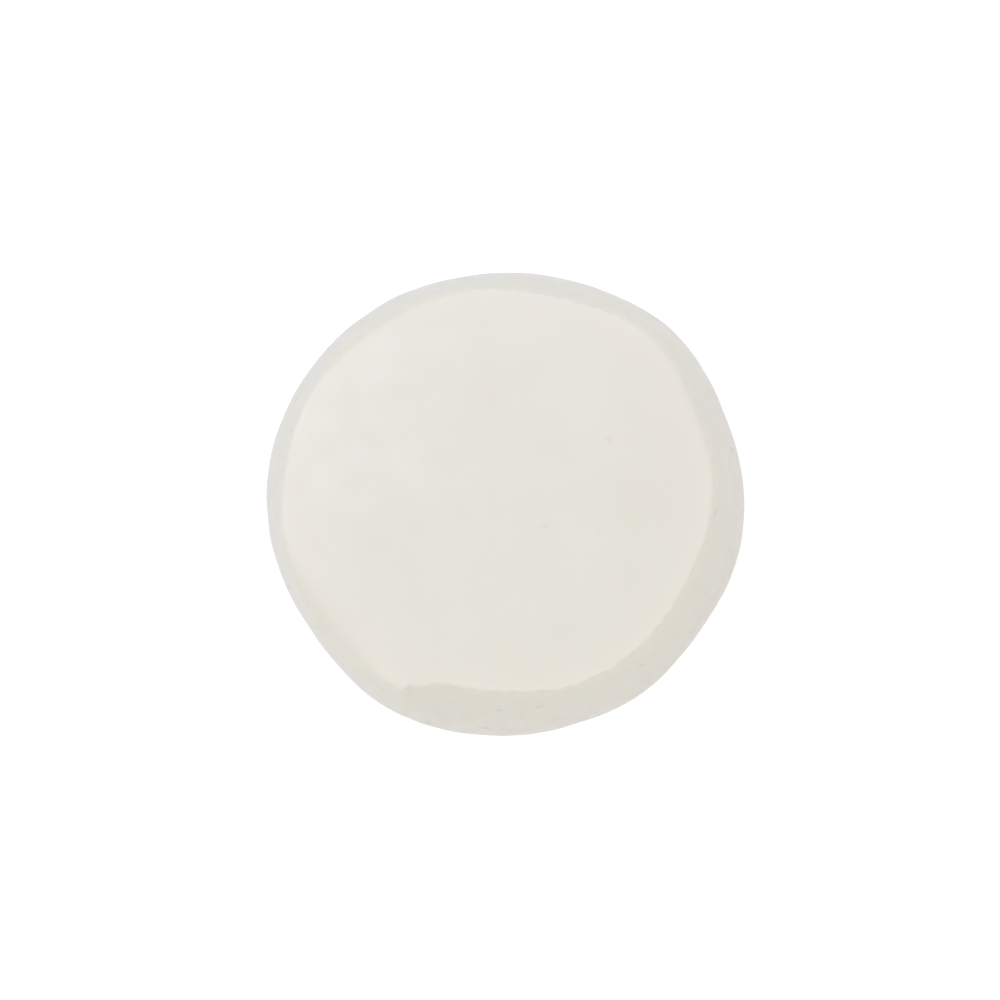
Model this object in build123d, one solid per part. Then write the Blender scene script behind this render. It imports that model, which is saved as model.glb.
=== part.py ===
"""Shaving soap puck: one cast piece of soap, millimetres, resting on z = 0.

+Z is up, +X is the widest way across, and the origin is the middle of the flat base.
The puck is hand made, so it is out of round, and its base and its top are out of round differently.
The wall runs from one outline to the other. It draws in slightly between its two rims, except where
the shoulder was pressed soft, where it bellies out.
"""

from build123d import *

from math import cos, pi, radians, sin
import os

os.makedirs("parts", exist_ok=True)

# Height of the puck at the middle of its top, and how far the top falls from there to its edge.
THICKNESS = 25.0
CROWN_RISE = 0.8

# Mean radius of the top edge, used only to find how round the crown is.
TOP_MEAN_RADIUS = 30.1

# Roundings of the two rims.
TOP_EDGE_RADIUS = 0.7
BASE_EDGE_RADIUS = 0.9

# How far the wall draws in, half way up, from a straight line between its two rims. It does so along
# a parabola, which is 4 * share * (1 - share) of this at each share of the height.
WAIST = 0.4

# The soft shoulder: where it is, how far it reaches to each side, its height, and how far it swells.
SHOULDER_ANGLE = 218.0
SHOULDER_REACH = 40.0
SHOULDER_HEIGHT = 18.0
SHOULDER_SWELL = 0.7

# Both outlines, as (degrees from +X, radius of the base, radius of the top), with sharp rims.
# The top drops inward between 235 and 262 degrees, where a fold in the soap ends.
OUTLINES = [
    (0, 35.3, 31.15),
    (22, 34.95, 31.15),
    (45, 35.6, 31.65),
    (64, 34.75, 30.0),
    (82, 34.2, 29.4),
    (98, 34.05, 29.55),
    (119, 34.55, 29.75),
    (150, 34.95, 30.3),
    (170, 35.05, 30.4),
    (190, 34.65, 31.0),
    (213, 33.75, 30.75),
    (235, 34.3, 30.85),
    (245, 34.35, 30.4),
    (252, 34.25, 28.5),
    (262, 34.0, 27.9),
    (277, 34.15, 28.3),
    (290, 34.1, 29.2),
    (307, 34.3, 29.75),
    (328, 34.4, 29.85),
    (346, 35.2, 30.5),
]


def swell(angle):
    """How far the wall bellies out at the shoulder's height, fading to nothing at its two ends."""
    away = abs(angle - SHOULDER_ANGLE) / SHOULDER_REACH
    return SHOULDER_SWELL * (1 + cos(pi * min(away, 1))) / 2


def section(height, swollen=False):
    """The puck's outline at this height, as a face: the taper from base to top, drawn in by the waist."""
    share = height / THICKNESS
    waist = WAIST * 4 * share * (1 - share)
    corners = []
    for angle, base_radius, top_radius in OUTLINES:
        radius = base_radius + (top_radius - base_radius) * share - waist
        if swollen:
            radius += swell(angle)
        corners.append((radius * cos(radians(angle)), radius * sin(radians(angle)), height))
    return make_face(Spline(*corners, periodic=True))


def tapered_block():
    """The block of soap with its tapering wall, left flat on top for the crown to be cut from it."""
    return loft([section(0), section(SHOULDER_HEIGHT, swollen=True), section(THICKNESS)])


def crown_ball():
    """The big ball whose top is the gently domed top of the puck, with its poles turned to the sides."""
    radius = (TOP_MEAN_RADIUS**2 + CROWN_RISE**2) / (2 * CROWN_RISE)
    return Pos(0, 0, THICKNESS - radius) * Rot(90, 0, 0) * Sphere(radius)


def soap_puck():
    """The whole puck: tapered, crowned, rounded at both rims, and centred over the origin."""
    puck = tapered_block() & crown_ball()
    top = puck.faces().sort_by(Axis.Z)[-1]
    puck = fillet(top.outer_wire().edges(), TOP_EDGE_RADIUS)
    base = puck.faces().sort_by(Axis.Z)[0]
    puck = fillet(base.outer_wire().edges(), BASE_EDGE_RADIUS)
    box = puck.bounding_box()
    middle = box.center()
    return Pos(-middle.X, -middle.Y, -box.min.Z) * puck


puck = soap_puck()
puck.label = "soap_puck"
export_step(puck, "parts/soap_puck.step")
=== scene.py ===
"""The looks of the shaving soap puck: one piece of off-white soap, poured and finished by hand.

The CAD node gives the size and the place. One detailed mesh stands for it, built in millimetres from
the same two outlines, then scaled to metres and centred over the origin, as the CAD box is.
"""

import bpy
import numpy as np
from mathutils import Matrix, Vector, noise


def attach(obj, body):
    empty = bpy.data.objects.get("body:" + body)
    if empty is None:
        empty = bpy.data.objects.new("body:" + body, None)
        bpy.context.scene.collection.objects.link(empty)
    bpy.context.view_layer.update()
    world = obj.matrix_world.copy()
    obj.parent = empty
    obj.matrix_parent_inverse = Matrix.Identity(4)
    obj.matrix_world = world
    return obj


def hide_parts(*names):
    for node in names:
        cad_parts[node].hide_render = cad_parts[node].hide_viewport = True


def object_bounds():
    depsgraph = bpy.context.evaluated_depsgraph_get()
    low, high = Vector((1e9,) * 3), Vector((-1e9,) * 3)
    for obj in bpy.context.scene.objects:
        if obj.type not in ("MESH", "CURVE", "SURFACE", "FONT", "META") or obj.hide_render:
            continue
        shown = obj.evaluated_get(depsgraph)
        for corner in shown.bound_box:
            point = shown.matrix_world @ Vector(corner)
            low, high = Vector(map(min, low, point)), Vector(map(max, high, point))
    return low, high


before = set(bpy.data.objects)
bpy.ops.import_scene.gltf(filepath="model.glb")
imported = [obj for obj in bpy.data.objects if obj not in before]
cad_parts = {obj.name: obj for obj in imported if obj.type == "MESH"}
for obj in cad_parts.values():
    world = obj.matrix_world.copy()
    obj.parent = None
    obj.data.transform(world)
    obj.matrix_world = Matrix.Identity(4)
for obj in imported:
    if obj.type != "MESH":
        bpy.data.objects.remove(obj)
cad_low, cad_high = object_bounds()

MM = 0.001
NODE = "soap_puck"

# ---- Sizes of the puck, in millimetres ----------------------------------------------------------

THICKNESS = (cad_high.z - cad_low.z) / MM

# Both outlines, as (degrees from +X, radius of the base, radius of the top), with sharp rims.
OUTLINES = [
    (0, 35.3, 31.15),
    (22, 34.95, 31.15),
    (45, 35.6, 31.65),
    (64, 34.75, 30.0),
    (82, 34.2, 29.4),
    (98, 34.05, 29.55),
    (119, 34.55, 29.75),
    (150, 34.95, 30.3),
    (170, 35.05, 30.4),
    (190, 34.65, 31.0),
    (213, 33.75, 30.75),
    (235, 34.3, 30.85),
    (245, 34.35, 30.4),
    (252, 34.25, 28.5),
    (262, 34.0, 27.9),
    (277, 34.15, 28.3),
    (290, 34.1, 29.2),
    (307, 34.3, 29.75),
    (328, 34.4, 29.85),
    (346, 35.2, 30.5),
]

# How far the rounding of the top rim reaches in from its sharp corner, as (degrees, millimetres).
# It is crisp where the puck was trimmed, and wide where it was smoothed over with a wet thumb.
RIM_REACHES = [
    (0, 0.9),
    (28, 1.7),
    (50, 0.55),
    (75, 0.45),
    (97, 0.5),
    (128, 1.4),
    (150, 0.55),
    (180, 0.7),
    (197, 1.4),
    (213, 4.3),
    (228, 3.2),
    (240, 1.1),
    (252, 0.7),
    (270, 0.45),
    (325, 0.45),
    (345, 0.7),
]
LEAST_RIM_REACH = 0.35

# The top falls away a little towards its rim, most of all on its upper left.
EDGE_FALL = 0.3
LEFT_FALL = 0.6
LEFT_ANGLE = 130.0
FALL_POWER = 4.0

# The wall draws in between its foot and its rim, and bellies out below the soft stretch of rim.
WAIST = 0.4
SWELL = 0.7
SWELL_ANGLE = 218.0
SWELL_REACH = 40.0
SWELL_HEIGHT = 18.0

# How far the rounding of the foot reaches up the wall, and in across the base.
BASE_RIM = 1.4

# The fold: the soap laps over itself at this angle, in a step that runs down the wall and fades. On
# the top it fades towards the middle, as a high power of the share of the way out.
FOLD_ANGLE = 245.0
FOLD_STEP = 1.2
FOLD_REACH_LEFT = 5.0
FOLD_REACH_RIGHT = 6.0
FOLD_WIDTH = 0.6
FOLD_LEFT_AT_FOOT = 0.1
FOLD_TOP_POWER = 14

# Relief of the surface: how high each kind is, and about how wide its bumps are.
SWAY_HEIGHT, SWAY_WIDTH = 0.22, 17.0
TOP_LUMP_HEIGHT, WALL_LUMP_HEIGHT, LUMP_WIDTH = 0.012, 0.1, 4.5

# The ragged trimming of the rim: how far it pushes, in how few to how many swings to a turn, and how
# near the rim's corner it stays.
TRIM_HEIGHT = 0.075
TRIM_SLOWEST, TRIM_FASTEST = 11, 95
TRIM_REACH = 1.1
TRIM_SEED = 3

# Burst air bubbles: the few on the top, as (x, y, radius), and how many lie on the wall and the base.
# Radii there are drawn evenly and raised to a power, so that big ones are rare. A bubble's hollow is
# this deep for its radius, and a higher power narrows it.
TOP_PITS = [(16.3, 7.7, 0.42), (7.2, -4.7, 0.4)]
WALL_PITS, BASE_PITS = 90, 90
PIT_RADII = (0.28, 0.75)
PIT_RARITY = 4
PIT_DEPTH = 0.42
PIT_NARROWING = 1.5
PIT_SEED = 7

# How finely the mesh is divided: steps across the top, and rings round each stretch of the side.
DISC_STEPS = 148
RIM_RINGS = 12
WALL_RINGS = 62
BASE_RIM_RINGS = 7

# ---- Smooth curves through a few given values ----------------------------------------------------


def round_curve(degrees, values):
    """The smooth closed curve (a periodic cubic spline) through values at these angles, as a function."""
    x = np.radians(np.array(degrees, float))
    y = np.array(values, float)
    count = len(x)
    gap = (np.roll(x, -1) - x) % (2 * np.pi)
    rise = (np.roll(y, -1) - y) / gap
    system = np.zeros((count, count))
    for i in range(count):
        before, after = (i - 1) % count, (i + 1) % count
        system[i, before] += gap[before]
        system[i, i] += 2 * (gap[before] + gap[i])
        system[i, after] += gap[i]
    bend = np.linalg.solve(system, 6 * (rise - np.roll(rise, 1)))
    bend_next, y_next = np.roll(bend, -1), np.roll(y, -1)

    def at(angle):
        angle = np.mod(angle, 2 * np.pi)
        i = np.searchsorted(x, angle, side="right") - 1
        left, g = angle - x[i], gap[i]
        right = g - left
        curved = (bend[i] * right**3 + bend_next[i] * left**3) / (6 * g)
        straight = (y[i] / g - bend[i] * g / 6) * right + (y_next[i] / g - bend_next[i] * g / 6) * left
        return curved + straight

    return at


OUTLINE_DEGREES, BASE_RADII, TOP_RADII = zip(*OUTLINES)
base_radius = round_curve(OUTLINE_DEGREES, BASE_RADII)
top_radius = round_curve(OUTLINE_DEGREES, TOP_RADII)
rim_reach = round_curve(*zip(*RIM_REACHES))


def hump(angle, centre, reach):
    """1 at an angle in degrees, fading smoothly to 0 at reach degrees to each side of it."""
    away = np.abs((np.degrees(angle) - centre + 180) % 360 - 180) / reach
    return (1 + np.cos(np.pi * np.minimum(away, 1))) / 2


# ---- The puck's section: top, rounded rim, wall, rounded foot -------------------------------------


def rim_size(angle):
    """How far the rounding of the top rim reaches in from the sharp corner."""
    return np.maximum(rim_reach(angle), LEAST_RIM_REACH)


def top_fall(angle):
    """How far the sharp rim of the top lies below its middle."""
    return EDGE_FALL + LEFT_FALL * hump(angle, LEFT_ANGLE, 180)


def top_height(angle, share):
    """Height of the top at this share of the way out to its sharp rim."""
    return THICKNESS - top_fall(angle) * share**FALL_POWER


def wall_radius(angle, height):
    """Radius of the tapering wall at a height, with its belly."""
    share = height / THICKNESS
    taper = base_radius(angle) + (top_radius(angle) - base_radius(angle)) * share
    waist = WAIST * 4 * share * (1 - share)
    belly = 1 - np.clip(np.abs(height - SWELL_HEIGHT) / SWELL_HEIGHT, 0, 1) ** 2
    return taper - waist + SWELL * hump(angle, SWELL_ANGLE, SWELL_REACH) * belly


def rounded(start, corner, end, share):
    """A point on the curve that rounds off a corner, with no jump in how much it bends at either end."""
    left, right = 1 - share, share
    near_start = left**4 + 2 * left**3 * right
    near_end = right**4 + 2 * right**3 * left
    return start * near_start + corner * (1 - near_start - near_end) + end * near_end


def rim_ring(angle, share):
    """(radius, height) of the ring at this share of the way round the top rim, from top to wall."""
    size, sharp = rim_size(angle), top_radius(angle)
    start_share = 1 - size / sharp
    start_height = top_height(angle, start_share)
    slope = top_fall(angle) * FALL_POWER * start_share ** (FALL_POWER - 1) / sharp
    corner_height = start_height - slope * size
    end_height = corner_height - size
    radius = rounded(sharp - size, wall_radius(angle, corner_height), wall_radius(angle, end_height), share)
    height = rounded(start_height, corner_height, end_height, share)
    return radius, height


def wall_ring(angle, share):
    """(radius, height) of the ring at this share of the way down the wall, between the two rims."""
    _, top_end = rim_ring(angle, 1.0)
    height = top_end + (BASE_RIM - top_end) * share
    return wall_radius(angle, height), height


def foot_ring(angle, share):
    """(radius, height) of the ring at this share of the way round the foot, from wall to base."""
    corner = base_radius(angle)
    radius = rounded(wall_radius(angle, BASE_RIM), corner, corner - BASE_RIM, share)
    height = rounded(BASE_RIM, 0.0, 0.0, share)
    return radius, height * np.ones_like(angle)


# ---- Relief ----------------------------------------------------------------------------------------


def bumps(points, width):
    """Smooth random heights, from about -1 to 1, for swells about this wide."""
    return np.array([noise.noise(Vector(point)) for point in points / width])


def closed_wave(angle, slowest, fastest, seed):
    """A random wave round the puck, of slowest to fastest swings to a turn, with a mean square of 1."""
    random = np.random.default_rng(seed)
    swings = np.arange(slowest, fastest + 1)
    phases = random.uniform(0, 2 * np.pi, len(swings))
    waves = np.cos(np.multiply.outer(angle, swings) + phases)
    return waves.sum(axis=-1) / np.sqrt(len(swings) / 2)


def fold_step(angle, height):
    """How far the soap stands out to the left of the fold, or in to the right of it."""
    away = (np.degrees(angle) - FOLD_ANGLE + 180) % 360 - 180
    reach = np.where(away < 0, FOLD_REACH_LEFT, FOLD_REACH_RIGHT)
    fade = np.clip(1 - np.abs(away) / reach, 0, 1) ** 2
    side = -np.clip(away / FOLD_WIDTH, -1, 1)
    depth = FOLD_LEFT_AT_FOOT + (1 - FOLD_LEFT_AT_FOOT) * (height / THICKNESS) ** 2
    return FOLD_STEP / 2 * side * fade * depth


def trimming(angle, radius, height):
    """How far the knife's little flats push the rim out or in, close to its corner."""
    corner = THICKNESS - top_fall(angle)
    away = np.hypot(radius - top_radius(angle), height - corner) / TRIM_REACH
    crisp = LEAST_RIM_REACH / rim_size(angle)
    wave = closed_wave(angle, TRIM_SLOWEST, TRIM_FASTEST, TRIM_SEED)
    return TRIM_HEIGHT * wave * np.exp(-(away**2)) * crisp


def bubbles(points, side):
    """The place and radius of every burst bubble."""
    random = np.random.default_rng(PIT_SEED)
    on_wall = np.flatnonzero((side == 1) & (points[:, 2] > BASE_RIM))
    on_base = np.flatnonzero(points[:, 2] == 0)
    chosen = np.concatenate([random.choice(on_wall, WALL_PITS), random.choice(on_base, BASE_PITS)])
    least, most = PIT_RADII
    radii = least + (most - least) * random.random(len(chosen)) ** PIT_RARITY
    top = [((x, y, THICKNESS), radius) for x, y, radius in TOP_PITS]
    return top + list(zip(points[chosen], radii))


def pitting(points, side):
    """How deep the burst bubbles go at each point, and how far inside one it is, from 0 to 1."""
    depth = np.zeros(len(points))
    inside = np.zeros(len(points))
    for place, radius in bubbles(points, side):
        away = np.linalg.norm(points - place, axis=1) / radius
        hollow = np.clip(1 - away**2, 0, 1) ** PIT_NARROWING
        depth = np.maximum(depth, PIT_DEPTH * radius * hollow)
        inside = np.maximum(inside, hollow)
    return depth, inside


def swelling(points, side):
    """How far the broad swells and the smaller lumps lift each point."""
    lump_height = TOP_LUMP_HEIGHT + (WALL_LUMP_HEIGHT - TOP_LUMP_HEIGHT) * side
    return SWAY_HEIGHT * bumps(points, SWAY_WIDTH) + lump_height * bumps(points, LUMP_WIDTH)


# ---- The mesh -------------------------------------------------------------------------------------


def disc_grid(steps):
    """A square grid bent into a unit disc, with equal angles along its edge, as (share, angle)."""
    line = np.linspace(-1, 1, steps + 1)
    u, v = np.meshgrid(line, line)
    share = np.maximum(np.abs(u), np.abs(v))
    side = share + (share == 0)
    wide = np.abs(u) >= np.abs(v)
    angle = np.where(
        wide,
        np.pi / 4 * v * np.sign(u) / side + np.where(u < 0, np.pi, 0),
        np.pi / 2 * np.sign(v) - np.pi / 4 * u * np.sign(v) / side,
    )
    return share.ravel(), np.mod(angle.ravel(), 2 * np.pi)


def disc_faces(steps, first):
    """The quads of a disc grid whose vertices begin at first."""
    row, column = np.meshgrid(np.arange(steps), np.arange(steps), indexing="ij")
    a = (first + row * (steps + 1) + column).ravel()
    return np.stack([a, a + 1, a + steps + 2, a + steps + 1], axis=1)


def disc_edge(steps):
    """The indices of a disc grid's edge vertices, anticlockwise from the lower right corner."""
    side = steps + 1
    right = [row * side + steps for row in range(steps)]
    top = [steps * side + column for column in range(steps, 0, -1)]
    left = [row * side for row in range(steps, 0, -1)]
    bottom = list(range(steps))
    return np.array(right + top + left + bottom)


def belt_faces(upper, lower):
    """The quads between two rings of vertex indices."""
    return np.stack([upper, lower, np.roll(lower, -1), np.roll(upper, -1)], axis=1)


def puck_mesh():
    """Vertices in millimetres, how far round to the side each lies, and quads, before any fine relief."""
    share, angle = disc_grid(DISC_STEPS)
    edge = disc_edge(DISC_STEPS)
    edge_angle = angle[edge]

    rim_start = 1 - rim_size(angle) / top_radius(angle)
    top_share = share * rim_start
    top = (top_share * top_radius(angle), top_height(angle, top_share))
    rings = [(i / RIM_RINGS, rim_ring(edge_angle, i / RIM_RINGS)) for i in range(1, RIM_RINGS + 1)]
    rings += [(1, wall_ring(edge_angle, i / WALL_RINGS)) for i in range(1, WALL_RINGS + 1)]
    rings += [(1, foot_ring(edge_angle, i / BASE_RIM_RINGS)) for i in range(1, BASE_RIM_RINGS)]
    base = (share * (base_radius(angle) - BASE_RIM), np.zeros_like(share))

    points, sides, faces = [], [], []

    def add(polar_angle, side, radius, height):
        """Adds vertices and returns the index of their first."""
        first = sum(len(p) for p in points)
        radius = radius + trimming(polar_angle, radius, height)
        way_out = np.clip(radius / top_radius(polar_angle), 0, 1)
        radius = radius + fold_step(polar_angle, height) * way_out**FOLD_TOP_POWER
        flat = [radius * np.cos(polar_angle), radius * np.sin(polar_angle), height]
        points.append(np.stack(flat, axis=1))
        sides.append(np.full(len(height), float(side)))
        return first

    top_first = add(angle, 0, *top)
    faces.append(disc_faces(DISC_STEPS, top_first))
    upper = edge + top_first
    for side, ring in rings:
        lower = add(edge_angle, side, *ring) + np.arange(len(edge))
        faces.append(belt_faces(upper, lower))
        upper = lower
    base_first = add(angle, 1, *base)
    faces.append(belt_faces(upper, edge + base_first))
    faces.append(disc_faces(DISC_STEPS, base_first)[:, ::-1])
    return np.concatenate(points), np.concatenate(sides), np.concatenate(faces)


def store(mesh, name, values):
    """Keeps a number for each vertex, for the material to read."""
    mesh.attributes.new(name, "FLOAT", "POINT").data.foreach_set("value", values)


def soap_piece():
    """The whole visible puck as one object, in metres."""
    points, side, faces = puck_mesh()
    mesh = bpy.data.meshes.new("poured_soap")
    mesh.from_pydata(points.tolist(), [], faces.tolist())
    mesh.validate()
    normals = np.empty(points.size)
    mesh.vertex_normals.foreach_get("vector", normals)
    depth, inside = pitting(points, side)
    lift = swelling(points, side) - depth
    moved = points + normals.reshape(-1, 3) * lift[:, None]
    moved[:, 2] = np.maximum(moved[:, 2], 0)
    low, high = points.min(axis=0), points.max(axis=0)
    middle = np.array([(low[0] + high[0]) / 2, (low[1] + high[1]) / 2, 0])
    mesh.vertices.foreach_set("co", ((moved - middle) * MM).ravel())
    store(mesh, "side", side)
    # How far inside a bubble each point is, which sets the painted shade there.
    store(mesh, "hollow", inside)
    mesh.polygons.foreach_set("use_smooth", np.ones(len(mesh.polygons), bool))
    mesh.update()
    piece = bpy.data.objects.new("poured_soap", mesh)
    bpy.context.scene.collection.objects.link(piece)
    return piece


# ---- Materials --------------------------------------------------------------------------------------

# Linear colours of the soap: its usual one, a slightly warmer one that clouds into it, a darker and warmer
# one of painted shade for the upper wall, a blotchy pair of painted light that makes the lower wall paler
# and cooler, and a darker one of painted shade down in the burst bubbles.
SOAP_PALE = (0.731, 0.7, 0.63)
SOAP_WARM = (0.724, 0.69, 0.615)
# Painted shade: the upper wall under the rim, darker and warmer.
SOAP_SHADED_UPPER_WALL = (0.708, 0.677, 0.602)
# Painted light: this pair, mixed in random blotches, makes the lower wall paler and cooler.
SOAP_LIT_FOOT_PALE_BLOTCH = (0.742, 0.717, 0.68)
SOAP_LIT_FOOT_DARK_BLOTCH = (0.7, 0.672, 0.62)
# Painted shade: darker down in the burst bubbles.
SOAP_PIT_SHADE = (0.67, 0.634, 0.558)

# Painted light: the top is paler towards its rim, and most of all towards its upper left, where the light
# falls. It changes colour between these two distances from this place, in millimetres.
SOAP_LIT_RIM = (0.747, 0.713, 0.653)
LIT_RIM_FROM = (2.5, -5.5, 25.0)
LIT_RIM_DISTANCES = (16.0, 36.0)

# Between these heights, in millimetres, the painted shade of the upper wall gives way to the painted light
# of the lower wall. The boundary is ragged, and wanders up or down by this much.
SHADE_TO_LIGHT_HEIGHTS = (0.0, 15.0)
SHADE_TO_LIGHT_WANDER = 3.0

# About how wide the features of each pattern are, in millimetres, and how much the blotches are drawn
# out up the wall, as a scale for each axis: the smaller the scale, the longer the streak.
CLOUD_WIDTH = 9.0
BLOTCH_WIDTH = 2.2
WANDER_WIDTH = 3.5
BLOTCH_STRETCH = (1, 1, 0.45)

# Noise mostly stays between these. A narrower range gives a pattern more contrast.
NOISE_RANGE = (0.3, 0.7)
CLOUD_RANGE = (0.35, 0.65)
BLOTCH_RANGE = (0.35, 0.7)

# Light goes further through the soap in red than in blue.
SUBSURFACE = 0.2
SUBSURFACE_REACH = 8.0
SUBSURFACE_COLOUR = (1.0, 0.75, 0.45)
SPECULAR = 0.35

# Roughness of the top, of the middle of the rim, and of the wall, as (side, roughness).
ROUGHNESS = [(0.0, 0.36), (0.3, 0.37), (0.95, 0.55)]
ROUGHNESS_SPREAD = 0.05
ROUGHNESS_WIDTH = 4.0

# Fine relief, in millimetres: grit all over, and drag marks that run up the wall. Each grows from its
# height on the top to its height on the wall, starting at this share of the way round the rim.
TOP_GRIT, WALL_GRIT = 0.002, 0.016
GRIT_WIDTH, GRIT_FROM = 0.55, 0.3
DRAG_MARKS = 0.12
MARK_WIDTH, MARKS_FROM = 1.1, 0.5
MARK_STRETCH = (1, 1, 0.12)


def feed(tree, socket, given):
    """Gives a node's input another node's output, or a plain number or colour."""
    if isinstance(given, bpy.types.NodeSocket):
        tree.links.new(given, socket)
    else:
        socket.default_value = given


def grain(tree, place, width, detail):
    """Noise from 0 to 1 with features about this many millimetres wide."""
    node = tree.nodes.new("ShaderNodeTexNoise")
    node.inputs["Scale"].default_value = 1 / (width * MM)
    node.inputs["Detail"].default_value = detail
    tree.links.new(place, node.inputs["Vector"])
    return node.outputs["Fac"]


def spread(tree, value, old, new):
    """A value's old range moved to a new one, and held at its ends."""
    node = tree.nodes.new("ShaderNodeMapRange")
    feed(tree, node.inputs["Value"], value)
    for name, given in zip(("From Min", "From Max", "To Min", "To Max"), (*old, *new)):
        feed(tree, node.inputs[name], given)
    return node.outputs["Result"]


def maths(tree, kind, one, other):
    """One number worked out from two."""
    node = tree.nodes.new("ShaderNodeMath")
    node.operation = kind
    feed(tree, node.inputs[0], one)
    feed(tree, node.inputs[1], other)
    return node.outputs["Value"]


def measured(tree, kind, place, fixed):
    """One number worked out from a place or direction and a fixed one."""
    node = tree.nodes.new("ShaderNodeVectorMath")
    node.operation = kind
    node.inputs[1].default_value = fixed
    tree.links.new(place, node.inputs[0])
    return node.outputs["Value"]


def tint(tree, share, one, other):
    """A colour between two, by a share from 0 to 1."""
    node = tree.nodes.new("ShaderNodeMix")
    node.data_type = "RGBA"
    ends = [socket for socket in node.inputs if socket.type == "RGBA"]
    feed(tree, node.inputs[0], share)
    for socket, given in zip(ends, (one, other)):
        feed(tree, socket, (*given, 1) if isinstance(given, tuple) else given)
    return next(socket for socket in node.outputs if socket.type == "RGBA")


def stored(tree, name):
    """A number kept on the mesh."""
    node = tree.nodes.new("ShaderNodeAttribute")
    node.attribute_name = name
    return node.outputs["Fac"]


def stops_ramp(tree, value, stops):
    """A grey value read off a line of (position, grey) stops."""
    node = tree.nodes.new("ShaderNodeValToRGB")
    elements = node.color_ramp.elements
    while len(elements) < len(stops):
        elements.new(0.5)
    for element, (position, grey) in zip(elements, stops):
        element.position = position
        element.color = (grey, grey, grey, 1)
    feed(tree, node.inputs["Fac"], value)
    return node.outputs["Color"]


def stretched(tree, place, scale):
    """The same places with each axis scaled, so that noise there is drawn out."""
    node = tree.nodes.new("ShaderNodeMapping")
    node.inputs["Scale"].default_value = scale
    tree.links.new(place, node.inputs["Vector"])
    return node.outputs["Vector"]


def soap_colour(tree, place, side):
    """Off-white with warmer clouds and blotches down the wall, painted light paler towards the top's rim
    and down the lower wall, and painted shade darker on the upper wall and in the bubbles.
    """
    clouds = spread(tree, grain(tree, place, CLOUD_WIDTH, detail=3), CLOUD_RANGE, (0, 1))
    top = tint(tree, clouds, SOAP_PALE, SOAP_WARM)
    # Painted light: paler towards the top's rim.
    away = measured(tree, "DISTANCE", place, Vector(LIT_RIM_FROM) * MM)
    near, far = LIT_RIM_DISTANCES
    top = tint(tree, spread(tree, away, (near * MM, far * MM), (0, 1)), top, SOAP_LIT_RIM)
    drawn_out = stretched(tree, place, BLOTCH_STRETCH)
    blotches = spread(tree, grain(tree, drawn_out, BLOTCH_WIDTH, detail=4), BLOTCH_RANGE, (0, 1))
    foot = tint(tree, blotches, SOAP_LIT_FOOT_PALE_BLOTCH, SOAP_LIT_FOOT_DARK_BLOTCH)
    split = tree.nodes.new("ShaderNodeSeparateXYZ")
    tree.links.new(place, split.inputs["Vector"])
    wander = (-SHADE_TO_LIGHT_WANDER * MM, SHADE_TO_LIGHT_WANDER * MM)
    shift = spread(tree, grain(tree, drawn_out, WANDER_WIDTH, detail=3), NOISE_RANGE, wander)
    ragged = maths(tree, "ADD", split.outputs["Z"], shift)
    low, high = SHADE_TO_LIGHT_HEIGHTS
    # Painted shade on the upper wall, giving way to painted light towards the foot.
    wall = tint(tree, spread(tree, ragged, (low * MM, high * MM), (0, 1)), foot, SOAP_SHADED_UPPER_WALL)
    colour = tint(tree, side, top, wall)
    # Painted shade, darker the further inside a bubble.
    return tint(tree, stored(tree, "hollow"), colour, SOAP_PIT_SHADE)


def soap_relief(tree, place, side):
    """Height of the finest relief, in millimetres."""
    grit = grain(tree, place, GRIT_WIDTH, detail=4)
    grit_height = spread(tree, side, (GRIT_FROM, 1), (TOP_GRIT, WALL_GRIT))
    marks = grain(tree, stretched(tree, place, MARK_STRETCH), MARK_WIDTH, detail=3)
    mark_height = spread(tree, side, (MARKS_FROM, 1), (0, DRAG_MARKS))
    grit = maths(tree, "MULTIPLY", grit, grit_height)
    marks = maths(tree, "MULTIPLY", marks, mark_height)
    return maths(tree, "ADD", grit, marks)


def soap_material():
    """Warm off-white soap: slightly translucent and waxy, glossier on top than on its wall."""
    material = bpy.data.materials.new("soap_off_white")
    material.use_nodes = True
    tree = material.node_tree
    shader = tree.nodes["Principled BSDF"]
    shader.inputs["Specular IOR Level"].default_value = SPECULAR
    shader.inputs["Subsurface Weight"].default_value = SUBSURFACE
    shader.inputs["Subsurface Radius"].default_value = SUBSURFACE_COLOUR
    shader.inputs["Subsurface Scale"].default_value = SUBSURFACE_REACH * MM

    place = tree.nodes.new("ShaderNodeTexCoord").outputs["Object"]
    side = stored(tree, "side")
    feed(tree, shader.inputs["Base Color"], soap_colour(tree, place, side))

    patches = (-ROUGHNESS_SPREAD, ROUGHNESS_SPREAD)
    uneven = spread(tree, grain(tree, place, ROUGHNESS_WIDTH, detail=3), NOISE_RANGE, patches)
    roughness = maths(tree, "ADD", stops_ramp(tree, side, ROUGHNESS), uneven)
    feed(tree, shader.inputs["Roughness"], roughness)

    bump = tree.nodes.new("ShaderNodeBump")
    bump.inputs["Strength"].default_value = 1.0
    bump.inputs["Distance"].default_value = MM
    feed(tree, bump.inputs["Height"], soap_relief(tree, place, side))
    feed(tree, shader.inputs["Normal"], bump.outputs["Normal"])
    return material


def floor_material():
    """White card that glows a little, so that the camera sees it as pure white."""
    material = bpy.data.materials.new("floor_white")
    material.use_nodes = True
    shader = material.node_tree.nodes["Principled BSDF"]
    shader.inputs["Base Color"].default_value = (*FLOOR_COLOUR, 1)
    shader.inputs["Roughness"].default_value = FLOOR_ROUGHNESS
    shader.inputs["Specular IOR Level"].default_value = 0.0
    shader.inputs["Emission Color"].default_value = (*FLOOR_GLOW_COLOUR, 1)
    shader.inputs["Emission Strength"].default_value = FLOOR_GLOW
    return material


# ---- Camera, light and floor -------------------------------------------------------------------------

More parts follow.
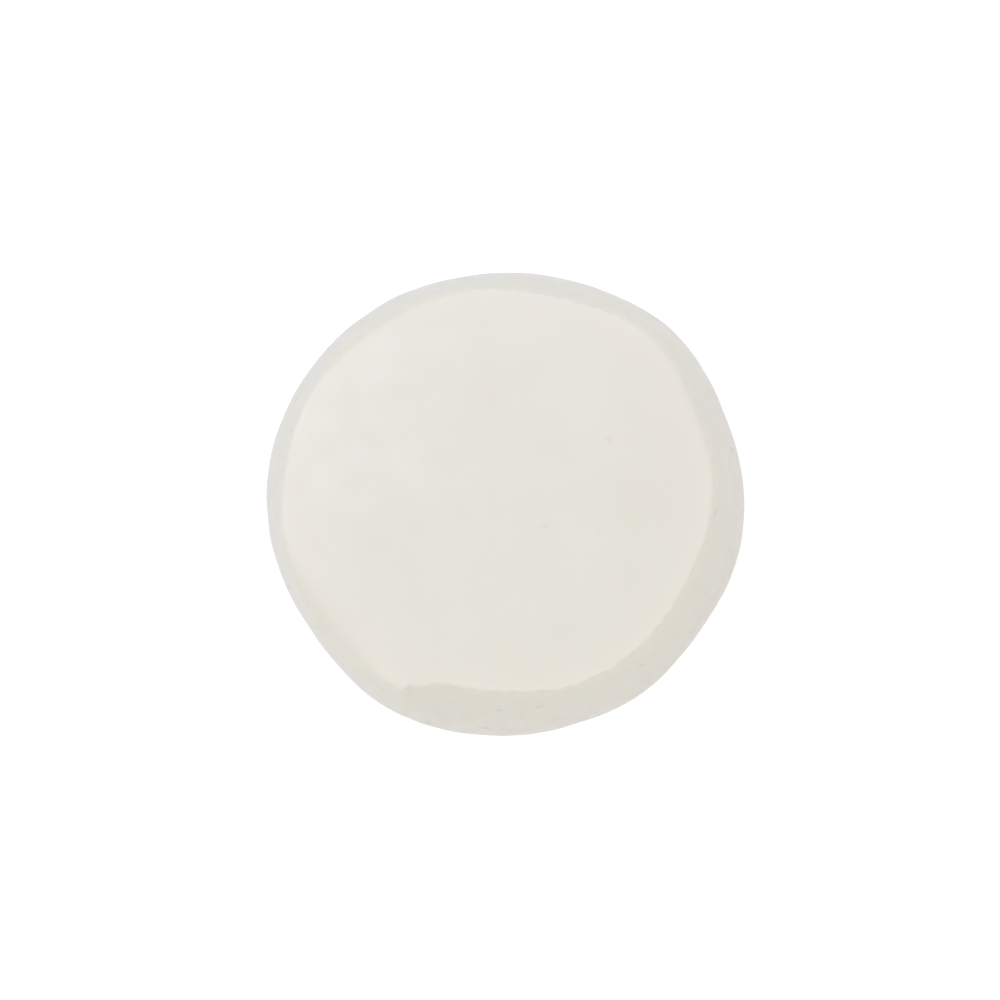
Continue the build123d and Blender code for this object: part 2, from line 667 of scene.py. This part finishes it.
# The camera stands almost straight above, leaning a little towards the lower right. The picture takes
# in this width at the aim. The sensor is given in millimetres, and the clipping distances in metres.
CAMERA_DISTANCE = 1000 * MM
CAMERA_TILT = np.radians(4.4)
CAMERA_TURN = np.radians(-49.8)
SENSOR_WIDTH = 36
FRAME_WIDTH = 146.05 * MM
AIM = Vector((-0.77, 0.6, 0.0)) * MM
CLIP_NEAR, CLIP_FAR = 0.01, 10

# The surroundings: a bright ceiling over dimmer walls, meeting the white floor at the horizon. The
# stops are (sine of the elevation, brightness as a share of the ceiling's). The light from the warm
# side is a little yellower, and the light from the side opposite it a little bluer.
CEILING_STRENGTH = 1.34
STUDIO_STOPS = [(0.0, 0.9), (0.03, 0.9), (0.1, 0.3), (0.5, 0.5), (1.0, 1.0)]
WARM_SIDE = Vector((0.5, -0.87, 0.0))
WARM_LIGHT = (1.035, 1.0, 0.92)
COOL_LIGHT = (0.97, 1.0, 1.06)

# The key light: a bluish softbox high on the upper left, in metres and watts.
KEY_PLACE = (-0.25, 0.21, 1.25)
KEY_SIZE = 0.3
KEY_POWER = 2.3
KEY_COLOUR = (0.86, 0.97, 1.15)

# The floor, in metres across. Its own glow makes up what the lights leave it short of pure white.
FLOOR_SIZE = 20
FLOOR_COLOUR = (0.7, 0.7, 0.7)
FLOOR_ROUGHNESS = 0.9
FLOOR_GLOW_COLOUR = (0.97, 1.0, 1.05)
FLOOR_GLOW = 0.45


def make_camera():
    """A long lens from almost overhead, with +Y upwards in the picture."""
    data = bpy.data.cameras.new("camera")
    data.sensor_width = SENSOR_WIDTH
    data.lens = data.sensor_width * CAMERA_DISTANCE / FRAME_WIDTH
    data.clip_start, data.clip_end = CLIP_NEAR, CLIP_FAR
    lean = np.sin(CAMERA_TILT)
    back = Vector((lean * np.cos(CAMERA_TURN), lean * np.sin(CAMERA_TURN), np.cos(CAMERA_TILT)))
    up = (Vector((0, 1, 0)) - back * back.y).normalized()
    right = up.cross(back)
    camera = bpy.data.objects.new("camera", data)
    turn = Matrix((right, up, back)).transposed().to_4x4()
    camera.matrix_world = Matrix.Translation(AIM + back * CAMERA_DISTANCE) @ turn
    bpy.context.scene.collection.objects.link(camera)
    bpy.context.scene.camera = camera


def make_surroundings():
    """A white tent all round, warmer on one side than on the other."""
    world = bpy.data.worlds.new("white_tent")
    world.use_nodes = True
    tree = world.node_tree
    direction = tree.nodes.new("ShaderNodeTexCoord").outputs["Generated"]
    background = tree.nodes["Background"]
    side = spread(tree, measured(tree, "DOT_PRODUCT", direction, WARM_SIDE), (-1, 1), (0, 1))
    feed(tree, background.inputs["Color"], tint(tree, side, COOL_LIGHT, WARM_LIGHT))
    rise = measured(tree, "DOT_PRODUCT", direction, (0, 0, 1))
    sky = stops_ramp(tree, rise, STUDIO_STOPS)
    feed(tree, background.inputs["Strength"], maths(tree, "MULTIPLY", sky, CEILING_STRENGTH))
    bpy.context.scene.world = world
    bpy.context.scene.view_settings.view_transform = "Standard"


def make_key_light():
    """A square softbox that faces the middle of the base."""
    data = bpy.data.lights.new("key_softbox", "AREA")
    data.shape = "SQUARE"
    data.size = KEY_SIZE
    data.energy = KEY_POWER
    data.color = KEY_COLOUR
    light = bpy.data.objects.new("key_softbox", data)
    light.location = KEY_PLACE
    light.rotation_euler = (-Vector(KEY_PLACE)).to_track_quat("-Z", "Y").to_euler()
    bpy.context.scene.collection.objects.link(light)


def make_floor():
    """A plain floor that runs out of sight."""
    bpy.ops.mesh.primitive_plane_add(size=FLOOR_SIZE, location=(0, 0, 0))
    floor = bpy.context.object
    floor.name = "floor"
    floor.data.materials.append(floor_material())


make_camera()
make_surroundings()
make_key_light()
make_floor()

puck = soap_piece()
puck.data.materials.append(soap_material())
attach(puck, "root")
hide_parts(NODE)
